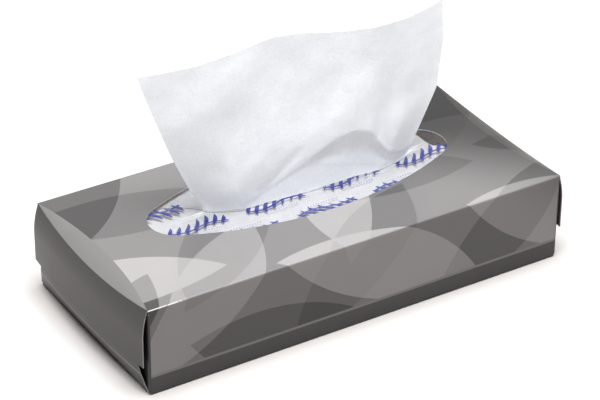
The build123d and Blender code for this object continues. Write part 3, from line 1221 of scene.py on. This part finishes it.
@dataclass
class TissueStack:
    """The folded tissues left in the box, pushed up to its left end, each layer a little off
    the next."""

    # Greyer than the pulled tissue: painted shade for the layers lying in the box under the film.
    paper: TissuePaper = TissuePaper("tissue_layers", (0.70, 0.69, 0.68), 0.0)
    left: float = -115.5
    right: float = 88.5
    top_right: float = 83.0
    half_depth: float = 53.6
    foot: float = 0.53
    top: float = 44.25
    edge_drop: float = 0.8
    edge_share: float = 0.02
    puff: float = 0.15
    fray: float = 0.35
    layers: int = 60

    @property
    def half_length(self) -> float:
        """Half the length."""
        return (self.right - self.left) / 2

    def end(self, y: np.ndarray, z: np.ndarray) -> np.ndarray:
        """Where the layers end on the right: the top ones stop short behind the middle."""
        short = smooth(y, 4.0, 8.0) * smooth(z, self.top - 5.0, self.top - 3.5)
        return self.right - (self.right - self.top_right) * short

    def skin(self, share_x: np.ndarray, share_y: np.ndarray, z: np.ndarray,
             swell: np.ndarray) -> np.ndarray:
        """Points of the stack's outside.

        Args:
            share_x: shares of its length, from -1 to 1.
            share_y: shares of its depth, from -1 to 1.
            z: heights.
            swell: how far the points are pushed out.

        Returns:
            The points.
        """
        y = share_y * (self.half_depth + swell)
        right = self.end(y, z) + swell
        left = self.left - swell * 0.5
        x = left + (share_x + 1.0) / 2 * (right - left)
        return grid(x, y, z)

    def build(self) -> bpy.types.Object:
        """The top and foot as grids, and the sides as layers carried round the edge.

        The top's edge is rounded by edge_drop (1 - sqrt(1 - (1 - s)^2)), with s the share of
        the way in over the rounding, and the layers stand back by an uneven fray.

        Returns:
            The piece.
        """
        u = np.linspace(-1.0, 1.0, 120)
        v = np.linspace(-1.0, 1.0, 60)
        share_x, share_y = np.meshgrid(u, v)
        flat = grid(share_x * self.half_length, share_y * self.half_depth)
        edge = np.minimum(1.0 - np.abs(share_x), (1.0 - np.abs(share_y)) * 0.55)
        inward = np.clip(edge / self.edge_share, 0.0, 1.0)
        rounded = 1.0 - np.sqrt(np.clip(1.0 - (1.0 - inward) ** 2, 0.0, 1.0))
        uneven = 1.0 + 0.6 * ripple(flat[..., 0], flat[..., 1], 31, 60.0)
        puff = self.puff * smooth(edge, 0.0, 0.3) * uneven
        still = np.zeros_like(edge)
        top = self.skin(share_x, share_y, self.top - self.edge_drop * rounded + puff, still)
        foot = self.skin(share_x, share_y, np.full_like(edge, self.foot), still)
        rim_x = np.concatenate([u, np.ones(len(v)), u[::-1], -np.ones(len(v))])
        rim_y = np.concatenate([-np.ones(len(u)), v, np.ones(len(u)), v[::-1]])
        level = np.linspace(0.0, 1.0, self.layers)[:, None]
        z = self.foot + level * (self.top - self.edge_drop - self.foot)
        around = np.cumsum(np.hypot(np.diff(rim_x, prepend=rim_x[0]) * self.half_length,
                                    np.diff(rim_y, prepend=rim_y[0]) * self.half_depth))
        fray = self.fray * np.abs(ripple(around, z * 30.0, 33, 40.0))
        closing = smooth(around, 0.0, 8.0) * smooth(around, around[-1], around[-1] - 8.0)
        fray = fray * np.sin(pi * level) ** 0.3 * closing
        sides = self.skin(rim_x, rim_y, z, -fray)
        patches = [Patch(top, flat), Patch(foot, flat), Patch(sides, grid(around, z * 3.0))]
        piece = make_piece("tissue_layers", patches, [self.paper.finish()], crease=50.0)
        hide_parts("tissue_stack")
        carry(piece)
        return piece


@dataclass(frozen=True)
class Fold:
    """A soft ridge or valley across the standing tissue.

    Args:
        start: x and height of one end.
        end: x and height of the other.
        width: how far it spreads to each side.
        rise: how far it stands forward, or back if below 0.
    """

    start: Point
    end: Point
    width: float
    rise: float

    def __call__(self, x: np.ndarray, z: np.ndarray) -> np.ndarray:
        """rise * exp(-(distance to the line / width)^2), fading past its ends."""
        dx, dz = self.end[0] - self.start[0], self.end[1] - self.start[1]
        length = hypot(dx, dz)
        along = ((x - self.start[0]) * dx + (z - self.start[1]) * dz) / length
        away = ((x - self.start[0]) * dz - (z - self.start[1]) * dx) / length
        fade = smooth(along, -self.width, self.width)
        fade = fade * (1.0 - smooth(along, length - self.width, length + self.width))
        return self.rise * np.exp(-((away / self.width) ** 2)) * fade


@dataclass
class PulledTissue:
    """The top tissue: its lower half lies folded on the stack, and its upper half stands up
    through the slit, gathered at the foot and wide open at the top."""

    paper: TissuePaper = TissuePaper("tissue_sheet", (0.875, 0.90, 0.935), 0.44)
    width: float = 200.0
    length: float = 215.0
    left: float = -113.5
    right: float = 81.0
    under_edge: float = -24.5
    back_fold: float = 52.0
    bed: float = 45.0
    plane: float = 7.5
    lean_back: float = 0.035
    pocket: float = 1.1
    lean_x: float = 0.54
    lean_z: float = 0.55
    lip: Curve = Curve((-50.0, -45.6, -39.7, -30.0, 0.0, 30.0, 47.0, 57.0),
                       (10.0, 6.9, 4.4, 1.0, -0.6, -1.6, -1.9, 0.5), 2.5)
    left_edge: Curve = Curve((45.0, 61.7, 83.1, 108.3, 131.0),
                             (-50.4, -59.6, -69.4, -78.9, -87.0), 5.0)
    right_edge: Curve = Curve((39.8, 45.3, 60.8, 78.3, 103.1, 123.0),
                              (59.5, 67.2, 75.4, 84.6, 88.0, 87.2), 4.0)
    top_edge: Curve = Curve((-87.0, -71.8, -54.2, -35.1, -12.4, 4.9, 23.7, 46.3, 64.4, 78.0, 87.0),
                            (131.0, 129.2, 128.1, 129.2, 132.0, 129.8, 125.3, 121.8, 121.9, 124.0,
                             126.5), 5.0)
    pleat: Curve = Curve((-30.0, -18.0, 2.0, 8.0, 24.0, 36.0, 45.0, 53.0, 60.0),
                         (0.0, 6.0, 13.5, 15.0, 10.5, 7.2, 4.5, 1.5, 0.0), 2.5)
    ridge: Curve = Curve((-30.0, -10.0, 6.0, 24.0, 36.0, 46.0, 54.0, 60.0),
                         (4.0, 9.0, 17.5, 26.0, 28.0, 23.5, 12.0, 8.0), 4.0)
    ridge_y: Curve = Curve((-50.0, -30.0, -10.0, 8.0, 24.0, 38.0, 48.0, 56.0, 64.0),
                           (10.5, 6.0, 3.5, 1.2, 0.2, -1.7, -1.9, 1.5, 6.5), 5.0)
    wave: Curve = Curve((-87.0, -54.0, -12.0, 24.0, 52.0, 87.0),
                        (2.5, 0.5, 3.5, -1.0, -4.0, 2.5), 14.0)
    folds: tuple[Fold, ...] = (
        Fold((-40.0, 47.0), (-8.0, 80.0), 7.0, 0.4),
        Fold((-22.0, 46.0), (4.0, 66.0), 3.0, -0.4),
        Fold((-50.0, 60.0), (-30.0, 95.0), 9.0, -0.8),
        Fold((48.0, 58.0), (57.0, 44.0), 2.4, 0.7),
        Fold((60.0, 58.0), (70.0, 96.0), 8.0, 0.8),
        Fold((10.0, 80.0), (40.0, 112.0), 16.0, -0.4),
        Fold((-70.0, 95.0), (-20.0, 118.0), 14.0, 1.0),
    )
    rows: int = 150
    columns: int = 181
    neck_z: float = 45.0
    neck_right: float = 59.5
    crown_left: float = 131.0
    crown_right: float = 126.5
    taken_up: float = 13.5
    pleat_lean: float = 0.15
    ridge_steepness: float = 2.3
    opening: float = 38.0
    turn_over: float = 0.25
    layer_gap: float = 0.05
    gathers: int = 11
    gather_height: float = 0.22

    def standing(self) -> tuple[np.ndarray, np.ndarray]:
        """The half that stands up.

        A point has a place (x, z) as seen along the line of sight on the plane y = plane, and
        a depth y, which slides it along that line: x + lean_x (y - plane) and
        z - lean_z (y - plane). Upwards from the lip the depth goes back to the pleat, forward
        over it, in and out again, to the ridge, and then back to the plane with its wave and folds.

        Returns:
            Points and their places on the flat sheet.
        """
        a = np.linspace(0.0, 1.0, self.columns)[None, :]
        t = np.linspace(0.0, 1.0, self.rows)[:, None]
        neck = self.left_edge(np.array([self.neck_z])) * (1 - a) + self.neck_right * a
        lip_y = self.lip(neck)
        foot = self.bed + self.lean_z * (lip_y - self.plane)
        left_x = self.left_edge(foot[:, :1] + t * (self.crown_left - foot[:, :1]))
        right_x = self.right_edge(foot[:, -1:] + t * (self.crown_right - foot[:, -1:]))
        x = left_x + a * (right_x - left_x)
        crown = self.top_edge(x[-1:, :])
        z = foot + t * (crown - foot)
        above = z - foot
        pleat = self.pleat(x)
        ridge = np.maximum(self.ridge(x), pleat + 2.0)
        pleat_y = lip_y + self.pleat_lean * pleat
        ridge_y = np.minimum(self.ridge_y(x), pleat_y)
        back = self.plane + self.wave(x) * smooth(above, 20.0, 90.0) + self.lean_back * above
        low = np.clip(above / np.maximum(pleat, 0.1), 0.0, 1.0)
        high = np.clip((above - pleat) / (ridge - pleat), 0.0, 1.0)
        past = np.clip(above - ridge, 0.0, None)
        far = 1.0 - np.exp(-((past / self.opening) ** 1.25))
        y = lip_y + (pleat_y - lip_y) * low
        y = y + (ridge_y - pleat_y) * high ** self.ridge_steepness
        y = y + self.pocket * smooth(ridge - pleat, 4.0, 14.0) * np.sin(pi * high) ** 2
        y = y + (back - ridge_y) * far
        for fold in self.folds:
            y = y - fold(x, z) * smooth(above, 3.0, 12.0)
        y = y - 0.30 * ripple(x, z, 41, 46.0) * smooth(above, 6.0, 40.0)
        y = y - 0.05 * ripple(x, z, 42, 14.0) * smooth(above, 4.0, 25.0)
        slide = y - self.plane
        points = grid(x + self.lean_x * slide, y, z - self.lean_z * slide)
        return points, grid((a - 0.5) * self.width, t * (self.length / 2 - self.taken_up))

    def laid(self, foot: np.ndarray) -> tuple[np.ndarray, np.ndarray]:
        """The half that lies folded under the film.

        It runs back from its free edge to the fold, turns over it, and comes forward on
        itself to the lip, drawn in from its full width to the neck's with gathers that grow.

        Args:
            foot: the lowest row of the standing half.

        Returns:
            Points and their places on the flat sheet.
        """
        a = np.linspace(0.0, 1.0, self.columns)[None, :]
        wide = self.left + a * (self.right - self.left)
        below = np.linspace(0.0, 1.0, 24)[:, None]
        under_y = self.under_edge + below * (self.back_fold - self.under_edge)
        turn = np.linspace(0.0, pi, 7)[:, None]
        loop_y = self.back_fold + self.turn_over * np.sin(turn[1:-1])
        loop_z = self.bed + self.layer_gap - self.turn_over * (1.0 + np.cos(turn))
        under = grid(wide, under_y, loop_z[0])
        loop = grid(wide, loop_y, loop_z[1:-1])
        near = np.linspace(0.0, 1.0, 40)[:-1, None]
        draw = smooth(near, 0.05, 1.0)
        over_x = wide + draw * (foot[None, :, 0] - wide)
        over_y = self.back_fold + near * (foot[None, :, 1] - self.back_fold)
        gather = self.gather_height * np.sin(2 * pi * self.gathers * a + 3 * np.sin(7 * a)) * draw
        over_z = self.bed + self.layer_gap + gather * smooth(1.0 - near, 0.0, 0.15)
        points = np.concatenate([under, loop, grid(over_x, over_y, over_z)])
        v = np.linspace(-self.length / 2, 0.0, len(points) + 1)[:-1, None]
        return points, grid((a - 0.5) * self.width, v)

    def build(self) -> bpy.types.Object:
        """One grid from the hidden free edge to the top edge.

        Returns:
            The piece.
        """
        standing, standing_flat = self.standing()
        laid, laid_flat = self.laid(standing[0])
        points = np.concatenate([laid, standing])
        flat = np.concatenate([laid_flat, standing_flat])
        piece = make_piece("top_tissue", [Patch(points, flat)], [self.paper.finish()],
                           crease=75.0, winding=Winding.EVEN)
        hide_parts("pulled_tissue")
        carry(piece)
        return piece


@dataclass
class Floor:
    """A plain pale floor."""

    half: float = 8000.0
    under_box: float = 0.2
    colour: Colour = (0.415, 0.40, 0.385)
    cloud: Grain = Grain(3.0, 2.0)

    def build(self) -> bpy.types.Object:
        """One flat sheet a hair under the box."""
        side = np.linspace(-self.half, self.half, 3)
        x, y = np.meshgrid(side, side)
        bench = Bench("pale_floor")
        cloud = bench.noise(bench.add("ShaderNodeTexCoord").outputs["Object"], self.cloud)
        finish = bench.surface(bench.principled({
            "Base Color": bench.grey(0.99 + cloud * 0.02, self.colour), "Roughness": 0.9,
            "Specular IOR Level": 0.1,
        }))
        return make_piece("floor", [Patch(grid(x, y, -self.under_box), grid(x, y))], [finish])


@dataclass(frozen=True)
class SoftLamp:
    """A flat soft light.

    Args:
        name: what it is called.
        place: where it is, in metres.
        size: its two sides, in metres.
        brightness: its radiance, where 1 is a white card in full light.
        tint: its colour.
    """

    name: str
    place: tuple[float, float, float]
    size: Point
    brightness: float
    tint: Colour
    aim: tuple[float, float, float] = (0.0, 0.0, 0.05)

    @property
    def watts(self) -> float:
        """Its power: radiance times pi times its area."""
        return self.brightness * pi * self.size[0] * self.size[1]

    def light(self) -> None:
        """Put it in the scene, facing the box."""
        data = bpy.data.lights.new(self.name, "AREA")
        data.shape = "RECTANGLE"
        data.size, data.size_y = self.size
        data.energy = self.watts
        data.color = self.tint
        lamp = put_in_scene(self.name, data)
        facing = Vector(self.aim) - Vector(self.place)
        lamp.rotation_euler = facing.to_track_quat("-Z", "Y").to_euler()
        lamp.location = self.place
        LOG.info("%s: %.1f W", self.name, self.watts)


@dataclass
class Studio:
    """Soft studio light: one broad lamp overhead, one behind, and a dim even surround."""

    surround: float = 0.135
    surround_colour: Colour = (1.0, 0.98, 0.95)
    lamps: tuple[SoftLamp, ...] = (
        SoftLamp("key", (-0.06, -0.15, 1.9), (1.5, 1.3), 19.8, (0.985, 0.985, 1.0)),
        SoftLamp("behind", (0.85, 1.70, 0.95), (3.2, 1.7), 0.95, (1.0, 0.985, 0.975)),
    )

    def light(self) -> None:
        """Light the scene."""
        world = bpy.data.worlds.new("surround")
        world.use_nodes = True
        ground = world.node_tree.nodes["Background"]
        ground.inputs["Color"].default_value = rgba(self.surround_colour)
        ground.inputs["Strength"].default_value = self.surround
        bpy.context.scene.world = world
        bpy.context.scene.view_settings.view_transform = "Standard"
        for lamp in self.lamps:
            lamp.light()


@dataclass
class Camera:
    """The camera: turned to the left of the front, looking down on the box from far off."""

    azimuth: float = -32.15
    elevation: float = 31.43
    roll: float = 0.59
    distance: float = 1320.7
    aim_right: float = -0.7
    aim_up: float = 35.06
    lens: float = 156.8
    sensor: float = 36.0
    nearest: float = 50.0
    farthest: float = 60000.0

    def place(self) -> None:
        """Put it in the scene, as the scene's camera."""
        turn, tilt, roll = (radians(angle) for angle in (self.azimuth, self.elevation, self.roll))
        back = Vector((sin(turn) * cos(tilt), -cos(turn) * cos(tilt), sin(tilt)))
        right = Vector((cos(turn), sin(turn), 0.0))
        up = back.cross(right)
        rolled_right = cos(roll) * right + sin(roll) * up
        rolled_up = cos(roll) * up - sin(roll) * right
        where = back * self.distance + right * self.aim_right + up * self.aim_up
        data = bpy.data.cameras.new("camera")
        data.lens = self.lens
        data.sensor_width = self.sensor
        data.clip_start = self.nearest * MILLIMETRE
        data.clip_end = self.farthest * MILLIMETRE
        camera = put_in_scene("camera", data)
        axes = Matrix((rolled_right, rolled_up, back)).transposed()
        camera.matrix_world = Matrix.Translation(where * MILLIMETRE) @ axes.to_4x4()
        bpy.context.scene.camera = camera


def main() -> None:
    """Build the tissue box, its floor, its lights and its camera."""
    logging.basicConfig(level=logging.INFO, format="%(message)s")
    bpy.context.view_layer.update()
    Carton().build()
    FilmWindow().build()
    TissueStack().build()
    PulledTissue().build()
    Floor().build()
    Studio().light()
    Camera().place()


if __name__ == "__main__":
    main()
